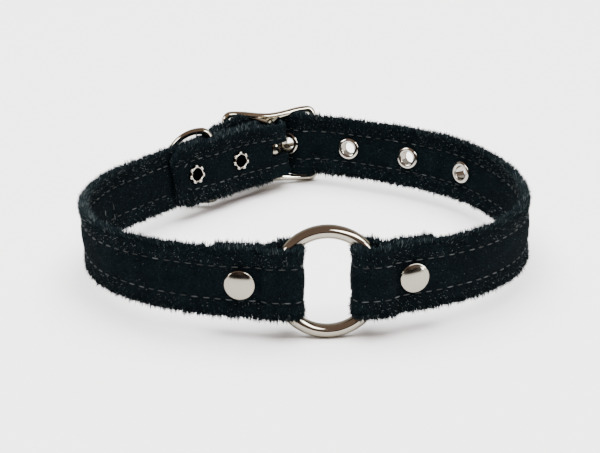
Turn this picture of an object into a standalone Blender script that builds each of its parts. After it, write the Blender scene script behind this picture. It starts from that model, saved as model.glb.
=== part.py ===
# Velvet collar choker: a stiff velvet strap in two halves, joined by an O-ring at the front and by a
# centre-bar buckle at the back. It stands on its edge, on the O-ring and on the buckle's lower side.
# +X is the wearer's left seen from the front, -Y is the front, +Z is up. Lengths are in metres.

from math import cos, pi, radians, sin, sqrt

import bmesh
import bpy
import numpy as np
from mathutils import Matrix, Vector

MM = 0.001
GAP = 0.3 * MM  # between pieces that touch on the real object

# The loop, measured between the mid-surfaces of the strap
LOOP_WIDTH = 132.4 * MM
LOOP_DEPTH = 107.7 * MM

# The strap
STRAP_WIDTH = 19.0 * MM
STRAP_THICKNESS = 2.6 * MM
EDGE_ROUND = 0.85 * MM
STATION_STEP = 3.2 * MM

# O-ring and the folds that hold it
RING_OUTSIDE = 32.0 * MM
RING_WIRE = 3.9 * MM
RING_LEAN = 14.0  # degrees, top towards the back
RING_DROP = 0.7 * MM  # the ring's centre below the middle of the strap
FOLD_OPENING = 12.8 * MM  # between the two folds, across the ring
FOLD_BACK_REACH = 33.0 * MM  # from the ring's centre to the end of a fold-back
RIVET_REACH = 24.0 * MM  # from the ring's centre to a rivet
FOLD_CORNER = 1.9 * MM
FOLD_BACK_ROUND = 2.0 * MM  # corners of a fold-back's end
RING_SLACK = 0.2 * MM  # spare room round the ring's wire, inside the folds

# Rivets
RIVET_CAP = 8.5 * MM
RIVET_CAP_HEIGHT = 1.1 * MM
RIVET_SHANK = 2.8 * MM
RIVET_STAND = 0.55 * MM  # between a cap and the strap's face, which curves under it

# Eyelets
EYELET_FLANGE = 7.3 * MM
EYELET_FLANGE_HEIGHT = 0.45 * MM
EYELET_HOLE = 4.4 * MM
EYELET_WALL = 0.35 * MM
EYELET_STAND = 0.45 * MM  # between a flange and the strap's face, which curves under it
EYELET_PITCH = 22.0 * MM
TONGUE_EYELETS = 5
PRONG_EYELET = 1  # counted from the tongue's tip, from 0
PETALS = 8

# Centre-bar buckle
BUCKLE_LENGTH = 33.6 * MM
BUCKLE_HEIGHT = 26.8 * MM
BUCKLE_WIRE = 2.4 * MM
BUCKLE_BAR = 2.5 * MM
BUCKLE_TURN = 22.0  # degrees between the strap and the frame, seen from above
BUCKLE_ARCH = 2.2 * MM  # the waist of the frame, inside the line of its ends
WAIST_CLEARANCE = 0.9 * MM  # between the strap's edges and the waist
TAB_WIDTH = 7.6 * MM
TAB_THICKNESS = 1.5 * MM
PRONG_THICKNESS = 1.6 * MM
PRONG_TIP_SHARE = 0.82  # the prong's tip against its root
KNUCKLE_WALL = 0.85 * MM
TONGUE_LOW = 0.7 * MM  # the tongue under the end bars, outside the axis of the centre bar

# Chape: the strap's end that is folded round the centre bar
FIRST_CHAPE_EYELET = 16.5 * MM  # from the centre bar
SECOND_CHAPE_EYELET = 35.5 * MM
CHAPE_TAIL = 9.5 * MM  # from the second eyelet to the rounded tip
CHAPE_SLACK = 0.8 * MM  # spare room in the fold, past the bar
SLOT_HEIGHT = 4.6 * MM  # the prong's slot through the fold
SLOT_BEHIND = 3.2 * MM  # its end behind the bar
TIP_ROUND = 6.5 * MM
TAIL_REACH = 24.5 * MM  # from the centre bar to the tongue's tip
TAIL_SETTLE = 0.8 * MM  # how much closer to the chape the tip lies than the end bar's end

# D-ring, with its bar between the layers of the chape
D_RING_WIRE = 2.2 * MM
D_RING_INSIDE = 22.0 * MM
D_RING_DEPTH = 18.0 * MM
D_RING_AT = 25.0 * MM  # from the centre bar
D_RING_SWING = 41.0  # degrees away from the strap

# Shares of the room round the ring and the bars that the outer layer gives, of two
FRONT_OUTER = 0.3
OUTER_SHARE = 0.7

# The mid-surface of each half in plan. x and y are shares of half the loop's width and depth,
# and lean is how far the strap's upper edge tips outwards, in degrees.
LEFT_STATIONS = (
    # x, y, lean
    (0.085, -1.000, -10),
    (-0.130, -1.006, -8),
    (-0.328, -0.989, -5),
    (-0.537, -0.927, -4),
    (-0.743, -0.814, -1),
    (-0.916, -0.624, 2),
    (-1.000, -0.317, 2),
    (-0.942, -0.005, 3),
    (-0.785, 0.255, 6),
    (-0.603, 0.507, 10),
    (-0.386, 0.742, 11),
    (-0.178, 0.935, 11),
    (-0.070, 1.015, 11),
)
RIGHT_STATIONS = (
    # x, y, lean
    (0.085, -1.000, -10),
    (0.292, -0.984, -9),
    (0.424, -0.926, -8),
    (0.564, -0.868, -7),
    (0.768, -0.726, -5),
    (0.931, -0.499, -3),
    (1.000, -0.229, -2),
    (0.980, 0.074, 0),
    (0.898, 0.333, 4),
    (0.767, 0.568, 8),
    (0.581, 0.740, 11),
    (0.379, 0.866, 11),
    (0.188, 0.958, 11),
)

# How the tongue climbs over the chape's fold. along is a share of half the buckle's length,
# rise is a share of the way from its low level to the top of the fold.
TONGUE_CLIMB = (
    # along, rise
    (1.00, 0.02),
    (0.70, 0.10),
    (0.45, 0.56),
    (0.25, 0.90),
    (0.06, 1.00),
    (-0.20, 0.87),
    (-0.50, 0.58),
    (-0.80, 0.29),
    (-1.05, 0.05),
)


def clear_scene():
    for obj in list(bpy.data.objects):
        bpy.data.objects.remove(obj, do_unlink=True)
    for block in (bpy.data.meshes, bpy.data.curves, bpy.data.materials):
        for item in list(block):
            block.remove(item)


def new_collection(name, hidden=False):
    collection = bpy.data.collections.new(name)
    bpy.context.scene.collection.children.link(collection)
    collection.hide_render = hidden
    return collection


def material(name, colour, roughness, metallic):
    made = bpy.data.materials.new(name)
    made.use_nodes = True
    shader = made.node_tree.nodes["Principled BSDF"]
    shader.inputs["Base Color"].default_value = (*colour, 1.0)
    shader.inputs["Roughness"].default_value = roughness
    shader.inputs["Metallic"].default_value = metallic
    made.diffuse_color = (*colour, 1.0)
    return made


def smooth_step(share):
    share = min(max(share, 0.0), 1.0)
    return share * share * (3 - 2 * share)


class Line:
    """A smooth line in plan through stations of x, y and lean, measured along its length."""

    def __init__(self, stations, before, steps=24):
        knots = np.array(stations, float)
        padded = np.vstack([before, knots, 2 * knots[-1] - knots[-2]])
        share = np.linspace(0, 1, steps, endpoint=False)[:, None]
        runs = []
        for a, b, c, d in zip(padded, padded[1:], padded[2:], padded[3:]):
            runs.append(
                0.5
                * (
                    2 * b
                    + (c - a) * share
                    + (2 * a - 5 * b + 4 * c - d) * share**2
                    + (3 * b - a - 3 * c + d) * share**3
                )
            )
        runs.append(knots[-1:])
        table = np.vstack(runs)
        self.points = table[:, :2]
        self.leans = table[:, 2]
        steps_taken = np.linalg.norm(np.diff(self.points, axis=0), axis=1)
        self.along = np.concatenate([[0.0], np.cumsum(steps_taken)])
        self.slopes = np.gradient(self.points, self.along, axis=0)

    @property
    def length(self):
        return self.along[-1]

    def point(self, distance):
        return np.array([np.interp(distance, self.along, axis) for axis in self.points.T])

    def tangent(self, distance):
        slope = np.array([np.interp(distance, self.along, axis) for axis in self.slopes.T])
        return slope / np.linalg.norm(slope)

    def lean(self, distance):
        return radians(np.interp(distance, self.along, self.leans))

    def nearest(self, point):
        return self.along[np.argmin(np.linalg.norm(self.points - point, axis=1))]


def in_plan(stations):
    return [
        (x * LOOP_WIDTH / 2, y * LOOP_DEPTH / 2, lean) for x, y, lean in stations
    ]


# Both halves are followed from the ring to the back, so outwards is on the right hand side of the
# left half and on the left hand side of the right half.
def outward(tangent, side):
    return np.array([-tangent[1], tangent[0]]) * side


LEFT, RIGHT = 1, -1
left_line = Line(in_plan(LEFT_STATIONS), before=in_plan(RIGHT_STATIONS)[1])

# The centre bar lies on the left line, and the frame is turned from it.
layer = STRAP_THICKNESS + GAP
chape_reach = SECOND_CHAPE_EYELET + CHAPE_TAIL
bar_at = left_line.nearest(
    np.array([LEFT_STATIONS[-2][0] * LOOP_WIDTH / 2, LEFT_STATIONS[-2][1] * LOOP_DEPTH / 2])
)
fold_spread = BUCKLE_BAR + 2 * GAP
chape_tangent = left_line.tangent(bar_at)
chape_out = outward(chape_tangent, LEFT)
bar_middle = OUTER_SHARE * fold_spread - (layer + fold_spread) / 2
bar_point = left_line.point(bar_at) + chape_out * bar_middle
turn = radians(-BUCKLE_TURN)
frame_along = np.array(
    [
        chape_tangent[0] * cos(turn) - chape_tangent[1] * sin(turn),
        chape_tangent[0] * sin(turn) + chape_tangent[1] * cos(turn),
    ]
)
frame_out = outward(frame_along, LEFT)
back_lean = left_line.lean(bar_at)

# Levels outside the axis of the centre bar
fold_room = BUCKLE_BAR / 2 + 1.5 * GAP
fold_centre_along = fold_room + CHAPE_SLACK + STRAP_THICKNESS / 2 - FOLD_CORNER
fold_centre_out = fold_room + STRAP_THICKNESS / 2 - FOLD_CORNER
fold_top = (
    fold_centre_along * sin(-turn)
    + fold_centre_out * cos(turn)
    + FOLD_CORNER
    + STRAP_THICKNESS / 2
)
tongue_top = fold_top + 3 * GAP + STRAP_THICKNESS / 2
half_buckle = (BUCKLE_LENGTH - BUCKLE_WIRE) / 2
eyelet_rise = STRAP_THICKNESS / 2 + EYELET_STAND + EYELET_FLANGE_HEIGHT
climb_height = tongue_top + GAP - TONGUE_LOW
end_bar_out = {
    share: TONGUE_LOW + rise * climb_height + eyelet_rise + 3 * GAP + BUCKLE_WIRE / 2
    for share, rise in ((1.0, TONGUE_CLIMB[0][1]), (-1.0, TONGUE_CLIMB[-1][1]))
}


def on_frame(along, out):
    return bar_point + frame_along * along + frame_out * out


def tongue_stations():
    stations = in_plan(RIGHT_STATIONS)
    lean = RIGHT_STATIONS[-1][2]
    for along, rise in TONGUE_CLIMB:
        point = on_frame(along * half_buckle, TONGUE_LOW + rise * climb_height)
        stations.append((*point, lean))
    last = on_frame(-half_buckle, TONGUE_LOW + TONGUE_CLIMB[-1][1] * climb_height)
    start = left_line.nearest(last)
    start_out = float(np.linalg.norm(last - left_line.point(start)))
    for share in (0.5, 1.0):
        distance = start + share * (bar_at - TAIL_REACH - start)
        out = start_out - share * TAIL_SETTLE
        place = left_line.point(distance) + outward(left_line.tangent(distance), LEFT) * out
        stations.append((*place, lean))
    return stations


right_line = Line(tongue_stations(), before=in_plan(LEFT_STATIONS)[1])

# Heights: the ring and the buckle's lower side stand on the floor, and the strap runs between.
ring_radius = (RING_OUTSIDE - RING_WIRE) / 2
ring_height = ring_radius * cos(radians(RING_LEAN)) + RING_WIRE / 2
front_height = ring_height + RING_DROP
side_bar_up = (BUCKLE_HEIGHT - BUCKLE_WIRE) / 2
back_height = (
    side_bar_up * cos(back_lean) + end_bar_out[-1.0] * sin(back_lean) + BUCKLE_WIRE / 2
)
front_y = left_line.points[0][1]


def height_at(y):
    share = (y - front_y) / (bar_point[1] - front_y)
    return front_height + (back_height - front_height) * share


def seat(line, side, distance, out):
    """A frame on a strap: x along it, y straight out of its face, z up its width."""
    tangent = line.tangent(distance)
    away = outward(tangent, side)
    place = line.point(distance) + away * out
    lean = line.lean(distance)
    along = Vector((*tangent, 0)) * side
    up = Vector((away[0] * sin(lean), away[1] * sin(lean), cos(lean)))
    face = up.cross(along)
    matrix = Matrix((along, face, up)).transposed().to_4x4()
    matrix.translation = (place[0], place[1], height_at(place[1]))
    return matrix


def frame_seat():
    up = Vector((frame_out[0] * sin(back_lean), frame_out[1] * sin(back_lean), cos(back_lean)))
    along = Vector((*frame_along, 0))
    matrix = Matrix((along, up.cross(along), up)).transposed().to_4x4()
    matrix.translation = (*bar_point, height_at(bar_point[1]))
    return matrix


# Routes: the mid-surface of a strap as distance along its line and distance out of it.
def ring_bulge(distance):
    """How far the two layers stand apart round the ring, past their usual distance."""
    full = ring_radius + RING_WIRE / 2 + GAP
    end = RIVET_REACH - RIVET_CAP / 2 - 4 * GAP
    share = 1 - smooth_step((distance - full) / (end - full))
    return share * (RING_WIRE + GAP + RING_SLACK)


def chape_bulge(distance):
    """The same on the chape, round the D-ring's bar and the centre bar."""
    before = bar_at - distance
    flange = EYELET_FLANGE / 2
    near_bar = 1 - smooth_step(
        (before - fold_room) / (FIRST_CHAPE_EYELET - flange - fold_room)
    )
    side = FIRST_CHAPE_EYELET if before < D_RING_AT else SECOND_CHAPE_EYELET
    start = D_RING_WIRE / 2 + 2 * GAP
    spread = abs(side - D_RING_AT) - flange - start
    near_ring = 1 - smooth_step((abs(before - D_RING_AT) - start) / spread)
    return max(near_bar * fold_spread, near_ring * (D_RING_WIRE + GAP))


def fold(end, upper, lower, direction):
    """Points round a fold whose flat end stands at a distance, from one level to the other."""
    radius = FOLD_CORNER
    points = []
    for centre_out, start in ((upper - radius, 0.0), (lower + radius, pi / 2)):
        for step in range(7):
            angle = start + step * pi / 12
            points.append(
                (
                    end + direction * radius * (1 - sin(angle)),
                    centre_out + radius * cos(angle),
                )
            )
    return points


def spaced(start, end, step=STATION_STEP):
    count = max(2, int(round(abs(end - start) / step)) + 1)
    return list(np.linspace(start, end, count))


def stretch(stops, step):
    """Distances through the stops, closer together where the stops ask for it."""
    found = []
    for (start, fine), (end, _) in zip(stops, stops[1:]):
        found += spaced(start, end, step * (0.5 if fine else 1.0))[:-1]
    return found + [stops[-1][0]]


ring_fold_end = FOLD_OPENING / 2 + STRAP_THICKNESS / 2


def front_fold():
    """From the end of the fold-back, round the ring, to where the outer layer starts."""
    start = ring_fold_end + FOLD_CORNER
    inner = [
        (d, -layer - (1 - FRONT_OUTER) * ring_bulge(d))
        for d in stretch(
            (
                (FOLD_BACK_REACH, False),
                (RIVET_REACH - RIVET_CAP / 2, True),
                (start + STATION_STEP / 2, False),
            ),
            STATION_STEP,
        )
    ]
    top = FRONT_OUTER * ring_bulge(start)
    bottom = -layer - (1 - FRONT_OUTER) * ring_bulge(start)
    turned = [(d, out) for d, out in reversed(fold(ring_fold_end, top, bottom, 1))]
    return inner + turned


def outer_layer(distance, with_chape):
    out = FRONT_OUTER * ring_bulge(distance)
    if with_chape:
        out += OUTER_SHARE * chape_bulge(distance)
    return (distance, out)


def left_route():
    start = ring_fold_end + FOLD_CORNER + STATION_STEP / 2
    chape_end = bar_at + fold_room + STRAP_THICKNESS / 2 + CHAPE_SLACK
    outer = stretch(
        (
            (start, True),
            (RIVET_REACH - RIVET_CAP / 2, False),
            (bar_at - chape_reach, False),
            (bar_at - SECOND_CHAPE_EYELET, True),
            (chape_end - FOLD_CORNER - STATION_STEP / 3, False),
        ),
        STATION_STEP,
    )
    bulge = chape_bulge(bar_at)
    top = OUTER_SHARE * bulge
    bottom = -layer - (1 - OUTER_SHARE) * bulge
    turned = fold(chape_end, top, bottom, -1)
    inner = stretch(
        (
            (chape_end - FOLD_CORNER - STATION_STEP / 3, True),
            (bar_at - SECOND_CHAPE_EYELET, False),
            (bar_at - chape_reach + TIP_ROUND, True),
            (bar_at - chape_reach, True),
        ),
        STATION_STEP,
    )
    route = front_fold()
    route += [outer_layer(d, True) for d in outer]
    route += turned
    route += [(d, -layer - (1 - OUTER_SHARE) * chape_bulge(d)) for d in inner]
    return route


def right_route():
    start = ring_fold_end + FOLD_CORNER + STATION_STEP / 2
    end = right_line.length
    outer = stretch(
        (
            (start, True),
            (RIVET_REACH - RIVET_CAP / 2, False),
            (end - TAIL_REACH - BUCKLE_LENGTH, True),
            (end, True),
        ),
        STATION_STEP,
    )
    return front_fold() + [outer_layer(d, False) for d in outer]


def tip_half_width(distance, radius):
    """Half the strap's width at a distance from a tip with rounded corners."""
    half = STRAP_WIDTH / 2
    if distance >= radius:
        return half
    return half - radius + sqrt(max(radius**2 - (radius - distance) ** 2, 0.0))


def strap(name, line, side, route, tip_round, look, parts):
    """A strap as an open sheet along its route, given its thickness and rounded edges."""
    places = [line.point(d) + outward(line.tangent(d), side) * out for d, out in route]
    steps = [np.linalg.norm(b - a) for a, b in zip(places, places[1:])]
    travelled = np.concatenate([[0.0], np.cumsum(steps)])
    total = travelled[-1]
    mesh = bpy.data.meshes.new(name)
    sheet = bmesh.new()
    last = len(route) - 1
    bmesh.ops.create_grid(sheet, x_segments=last, y_segments=1, size=1.0)
    for vertex in sheet.verts:
        index = round((vertex.co.x + 1) / 2 * last)
        place = places[index]
        distance = route[index][0]
        away = outward(line.tangent(distance), side)
        lean = line.lean(distance)
        half = min(
            tip_half_width(travelled[index], FOLD_BACK_ROUND),
            tip_half_width(total - travelled[index], tip_round),
        )
        up = half if vertex.co.y > 0 else -half
        vertex.co = (
            place[0] + away[0] * sin(lean) * up,
            place[1] + away[1] * sin(lean) * up,
            height_at(place[1]) + cos(lean) * up,
        )
    sheet.to_mesh(mesh)
    sheet.free()
    obj = bpy.data.objects.new(name, mesh)
    parts.objects.link(obj)
    obj.data.materials.append(look)
    wall = obj.modifiers.new("Thickness", "SOLIDIFY")
    wall.thickness = STRAP_THICKNESS
    wall.offset = 0.0
    wall.use_even_offset = True
    edges = obj.modifiers.new("Round edges", "BEVEL")
    edges.width = EDGE_ROUND
    edges.segments = 2
    edges.limit_method = "ANGLE"
    edges.angle_limit = radians(50)
    return obj


def turned(name, profile, steps, matrix, look, parts, closed=True):
    """A profile of (radius, height) spun round the y axis of a seat."""
    mesh = bpy.data.meshes.new(name)
    shape = bmesh.new()
    verts = [shape.verts.new((radius, height, 0)) for radius, height in profile]
    following = verts[1:] + verts[:1] if closed else verts[1:]
    edges = [shape.edges.new(pair) for pair in zip(verts, following)]
    bmesh.ops.spin(
        shape,
        geom=verts + edges,
        axis=(0, 1, 0),
        cent=(0, 0, 0),
        steps=steps,
        angle=2 * pi,
        use_merge=True,
    )
    bmesh.ops.remove_doubles(shape, verts=shape.verts, dist=1e-6)
    bmesh.ops.recalc_face_normals(shape, faces=shape.faces)
    shape.to_mesh(mesh)
    shape.free()
    mesh.shade_smooth()
    mesh.set_sharp_from_angle(angle=radians(40))
    obj = bpy.data.objects.new(name, mesh)
    obj.matrix_world = matrix
    parts.objects.link(obj)
    obj.data.materials.append(look)
    return obj


def eyelet(name, matrix, grip, face_side, look, parts):
    """An eyelet: a smooth flange on one face, a barrel, and the rolled end split into petals."""
    hole = EYELET_HOLE / 2
    barrel = hole + EYELET_WALL
    rim = EYELET_FLANGE / 2
    inside = grip / 2 + EYELET_STAND
    outside = inside + EYELET_FLANGE_HEIGHT
    soft = EYELET_FLANGE_HEIGHT * 0.45
    profile = [
        (hole, -outside + soft),
        (hole + soft, -outside),
        (rim - soft, -outside + soft * 0.3),
        (rim, -inside),
        (barrel, -inside),
        (barrel, inside),
        (rim, inside),
        (rim - soft, outside - soft * 0.3),
        (hole + soft, outside),
        (hole, outside - soft),
    ]
    obj = turned(name, profile, 2 * PETALS, matrix, look, parts)
    for vertex in obj.data.vertices:
        radius = sqrt(vertex.co.x**2 + vertex.co.z**2)
        if vertex.co.y * face_side < 0 and radius > rim - EYELET_FLANGE_HEIGHT:
            turn_share = (np.arctan2(vertex.co.z, vertex.co.x) / (2 * pi)) * 2 * PETALS
            if round(turn_share) % 2:
                pull = (barrel + 0.45 * (rim - barrel)) / radius
                vertex.co.x *= pull
                vertex.co.z *= pull
    return obj


def rivet(name, matrix, grip, look, parts):
    """A rivet with a low domed cap on both faces."""
    cap = RIVET_CAP / 2
    shank = RIVET_SHANK / 2
    inside = grip / 2 + RIVET_STAND
    outside = inside + RIVET_CAP_HEIGHT
    half = [
        (shank, inside),
        (cap, inside),
        (cap, inside + 0.35 * RIVET_CAP_HEIGHT),
        (0.93 * cap, inside + 0.72 * RIVET_CAP_HEIGHT),
        (0.72 * cap, outside),
        (0.0, outside),
    ]
    profile = list(reversed(half)) + [(radius, -height) for radius, height in half]
    return turned(name, profile, 24, matrix, look, parts, closed=False)


def wire(name, points, diameter, matrix, collection, cyclic=True, widths=None, sides=2):
    """A round wire through points, as a mesh with its caps welded."""
    curve = bpy.data.curves.new(name, "CURVE")
    curve.dimensions = "3D"
    curve.bevel_depth = diameter / 2
    curve.bevel_resolution = sides
    curve.use_fill_caps = True
    spline = curve.splines.new("POLY")
    spline.points.add(len(points) - 1)
    for index, place in enumerate(points):
        spline.points[index].co = (*place, 1)
        if widths:
            spline.points[index].radius = widths[index]
    spline.use_cyclic_u = cyclic
    guide = bpy.data.objects.new(name + "_guide", curve)
    guide.matrix_world = matrix
    collection.objects.link(guide)
    bpy.context.view_layer.update()
    graph = bpy.context.evaluated_depsgraph_get()
    mesh = bpy.data.meshes.new_from_object(guide.evaluated_get(graph))
    shape = bmesh.new()
    shape.from_mesh(mesh)
    bmesh.ops.remove_doubles(shape, verts=shape.verts, dist=1e-6)
    bmesh.ops.recalc_face_normals(shape, faces=shape.faces)
    shape.to_mesh(mesh)
    shape.free()
    mesh.name = name
    mesh.shade_smooth()
    mesh.set_sharp_from_angle(angle=radians(50))
    obj = bpy.data.objects.new(name, mesh)
    obj.matrix_world = matrix
    collection.objects.link(obj)
    bpy.data.objects.remove(guide)
    return obj


def rod(name, radius, length, matrix, collection, axis="Y", segments=20):
    """A solid cylinder along one axis of a seat."""
    mesh = bpy.data.meshes.new(name)
    shape = bmesh.new()
    bmesh.ops.create_cone(
        shape, cap_ends=True, segments=segments, radius1=radius, radius2=radius, depth=length
    )
    if axis == "Y":
        bmesh.ops.rotate(shape, verts=shape.verts, matrix=Matrix.Rotation(pi / 2, 3, "X"))
    shape.to_mesh(mesh)
    shape.free()
    obj = bpy.data.objects.new(name, mesh)
    obj.matrix_world = matrix
    collection.objects.link(obj)
    return obj


def block(name, low, high, matrix, collection):
    """A box between two corners of a seat."""
    mesh = bpy.data.meshes.new(name)
    shape = bmesh.new()
    bmesh.ops.create_cube(shape, size=1.0)
    for vertex in shape.verts:
        vertex.co = [
            (a + b) / 2 + share * (b - a) for a, b, share in zip(low, high, vertex.co)
        ]
    shape.to_mesh(mesh)
    shape.free()
    obj = bpy.data.objects.new(name, mesh)
    obj.matrix_world = matrix
    collection.objects.link(obj)
    return obj


def combine(obj, other, operation):
    other.hide_render = True
    other.display_type = "WIRE"
    change = obj.modifiers.new(f"{operation.title()} {other.name}", "BOOLEAN")
    change.operation = operation
    change.object = other
    change.solver = "EXACT"


def torus(name, wire_diameter, collection):
    """A torus in the O-ring's place."""
    tangent = left_line.tangent(0.0)
    away = outward(tangent, LEFT)
    spread = RING_WIRE + GAP + RING_SLACK
    middle = FRONT_OUTER * spread - (layer + spread) / 2
    place = left_line.point(0.0) + away * middle
    bpy.ops.mesh.primitive_torus_add(
        major_segments=48,
        minor_segments=10,
        major_radius=ring_radius,
        minor_radius=wire_diameter / 2,
    )
    obj = bpy.context.active_object
    obj.name = name
    lean = radians(-RING_LEAN)
    along = Vector((*tangent, 0))
    up = Vector((away[0] * sin(lean), away[1] * sin(lean), cos(lean)))
    matrix = Matrix((along, up, along.cross(up))).transposed().to_4x4()
    matrix.translation = (place[0], place[1], ring_height)
    obj.matrix_world = matrix
    for found in list(obj.users_collection):
        found.objects.unlink(obj)
    collection.objects.link(obj)
    return obj


def o_ring(look, parts, cutters, straps):
    """The ring, and the room that it presses into the folds."""
    ring = torus("o_ring", RING_WIRE, parts)
    ring.data.materials.append(look)
    ring.data.shade_smooth()
    for strap_obj in straps:
        room = torus(f"ring_room_{strap_obj.name}", RING_WIRE + 2 * GAP, cutters)
        combine(strap_obj, room, "DIFFERENCE")


def buckle_outline():
    """The hourglass frame: straight ends, and sides that draw in and inwards at the waist."""
    half_up = side_bar_up
    waist_up = STRAP_WIDTH / 2 + WAIST_CLEARANCE + BUCKLE_WIRE / 2
    corner = 1.6 * BUCKLE_WIRE
    points = []
    for end, top in ((1, 1), (-1, 1), (-1, -1), (1, -1)):
        arc = []
        for step in range(5):
            angle = step * pi / 8
            along = end * (half_buckle - corner + corner * cos(angle))
            up = top * (half_up - corner + corner * sin(angle))
            arc.append((along, end_bar_out[float(end)], up))
        side = []
        for step in range(1, 7):
            share = 1 - step / 6
            along = end * (half_buckle - corner) * share
            draw = 0.5 + 0.5 * cos(pi * share)
            up = top * (half_up + (waist_up - half_up) * draw)
            mean_out = (end_bar_out[1.0] + end_bar_out[-1.0]) / 2
            out = end_bar_out[float(end)] * (1 - draw) + (mean_out - BUCKLE_ARCH) * draw
            side.append((along, out, up))
        run = arc + side
        if (end, top) in ((-1, 1), (1, -1)):
            run = list(reversed(run))[1:]
        points += run
    return points[:-1] if points[-1] == points[0] else points


def buckle(look, parts, cutters):
    matrix = frame_seat()
    frame = wire("buckle_frame", buckle_outline(), BUCKLE_WIRE, matrix, parts)
    frame.data.materials.append(look)
    waist_up = STRAP_WIDTH / 2 + WAIST_CLEARANCE + BUCKLE_WIRE / 2
    bar = rod(
        "centre_bar", BUCKLE_BAR / 2, 2 * waist_up - 0.4 * BUCKLE_WIRE, matrix, cutters, "Z", 16
    )
    combine(frame, bar, "UNION")
    mean_out = (end_bar_out[1.0] + end_bar_out[-1.0]) / 2 - BUCKLE_ARCH
    low = STRAP_WIDTH / 2 + WAIST_CLEARANCE
    for name, top in (("upper_tab", 1), ("lower_tab", -1)):
        mesh = bpy.data.meshes.new(name)
        shape = bmesh.new()
        flat = [
            (-TAB_WIDTH / 2, mean_out),
            (-0.22 * TAB_WIDTH, -0.35 * BUCKLE_BAR),
            (0.22 * TAB_WIDTH, -0.35 * BUCKLE_BAR),
            (TAB_WIDTH / 2, mean_out),
        ]
        verts = [shape.verts.new((x, y, top * low)) for x, y in flat]
        face = shape.faces.new(verts)
        grown = bmesh.ops.extrude_face_region(shape, geom=[face])
        moved = [item for item in grown["geom"] if isinstance(item, bmesh.types.BMVert)]
        bmesh.ops.translate(shape, verts=moved, vec=(0, 0, top * TAB_THICKNESS))
        bmesh.ops.recalc_face_normals(shape, faces=shape.faces)
        shape.to_mesh(mesh)
        shape.free()
        tab = bpy.data.objects.new(name, mesh)
        tab.matrix_world = matrix
        cutters.objects.link(tab)
        combine(frame, tab, "UNION")
    return frame


def prong(look, parts, cutters):
    """A knuckle round the centre bar and a straight shank over the right end bar."""
    matrix = frame_seat()
    room = BUCKLE_BAR / 2 + GAP
    over = end_bar_out[1.0] + BUCKLE_WIRE / 2 + GAP + PRONG_THICKNESS / 2
    reach = half_buckle + BUCKLE_WIRE / 2
    knuckle = rod(
        "buckle_prong", room + KNUCKLE_WALL, SLOT_HEIGHT - 3 * GAP, matrix, parts, "Z", 20
    )
    knuckle.data.materials.append(look)
    bore = rod("knuckle_bore", room, SLOT_HEIGHT * 2, matrix, cutters, "Z", 20)
    hole_along, hole_rise = TONGUE_CLIMB[2]
    hole_along *= half_buckle
    slope = (TONGUE_LOW + hole_rise * climb_height) / hole_along
    bend = min(hole_along + EYELET_FLANGE / 2, over / slope)
    shank_points = []
    steps = 10
    for step in range(steps + 1):
        along = room + KNUCKLE_WALL / 4 + (reach - room) * step / steps
        out = slope * along
        if along > bend:
            out = slope * bend + (over - slope * bend) * (along - bend) / (half_buckle - bend)
        shank_points.append((along, out, 0.0))
    widths = [1 - (1 - PRONG_TIP_SHARE) * step / steps for step in range(steps + 1)]
    shank = wire(
        "prong_shank", shank_points, PRONG_THICKNESS, matrix, cutters, False, widths, 2
    )
    combine(knuckle, shank, "UNION")
    combine(knuckle, bore, "DIFFERENCE")
    return knuckle


def d_ring(look, parts):
    """A straight bar and a bow that is a little more than half a circle."""
    matrix = seat(left_line, LEFT, bar_at - D_RING_AT, 0.0)
    middle = (OUTER_SHARE * (D_RING_WIRE + GAP)) - (layer + D_RING_WIRE + GAP) / 2
    matrix = matrix @ Matrix.Translation((0, middle, 0))
    matrix = matrix @ Matrix.Rotation(radians(-D_RING_SWING), 4, "Z")
    bow = (D_RING_INSIDE + D_RING_WIRE) / 2
    centre = D_RING_DEPTH - D_RING_WIRE - bow
    foot = sqrt(bow**2 - centre**2)
    corner = 0.75 * D_RING_WIRE
    points = []
    for step in range(-2, 3):
        points.append((0.0, 0.0, (foot - corner) * step / 2))
    first = np.arctan2(foot, -centre)
    start = first - corner / bow
    count = 26
    for step in range(count + 1):
        angle = start - (2 * start) * step / count
        points.append((-(centre + bow * cos(angle)), 0.0, bow * sin(angle)))
    obj = wire("d_ring", points, D_RING_WIRE, matrix, parts)
    obj.data.materials.append(look)
    return obj


def eyelet_places():
    """Where the tongue's eyelets lie, measured along the right line."""
    prong_at = right_line.nearest(
        on_frame(TONGUE_CLIMB[2][0] * half_buckle, TONGUE_LOW + TONGUE_CLIMB[2][1] * climb_height)
    )
    first = prong_at + PRONG_EYELET * EYELET_PITCH
    return [first - number * EYELET_PITCH for number in range(TONGUE_EYELETS)]


def centre_on_floor(parts, cutters):
    """Moves everything so that the middle of the bounding box's underside is the origin."""
    bpy.context.view_layer.update()
    graph = bpy.context.evaluated_depsgraph_get()
    corners = []
    for obj in parts.objects:
        seen = obj.evaluated_get(graph)
        mesh = seen.to_mesh()
        places = np.empty(len(mesh.vertices) * 3, np.float32)
        mesh.vertices.foreach_get("co", places)
        seen.to_mesh_clear()
        turn_and_place = np.array(seen.matrix_world)
        places = places.reshape(-1, 3) @ turn_and_place[:3, :3].T + turn_and_place[:3, 3]
        corners += [places.min(axis=0), places.max(axis=0)]
    low = np.min(corners, axis=0)
    high = np.max(corners, axis=0)
    shift = Vector(((low[0] + high[0]) / 2, (low[1] + high[1]) / 2, low[2]))
    for obj in (*parts.objects, *cutters.objects):
        obj.matrix_world.translation -= shift


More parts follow.
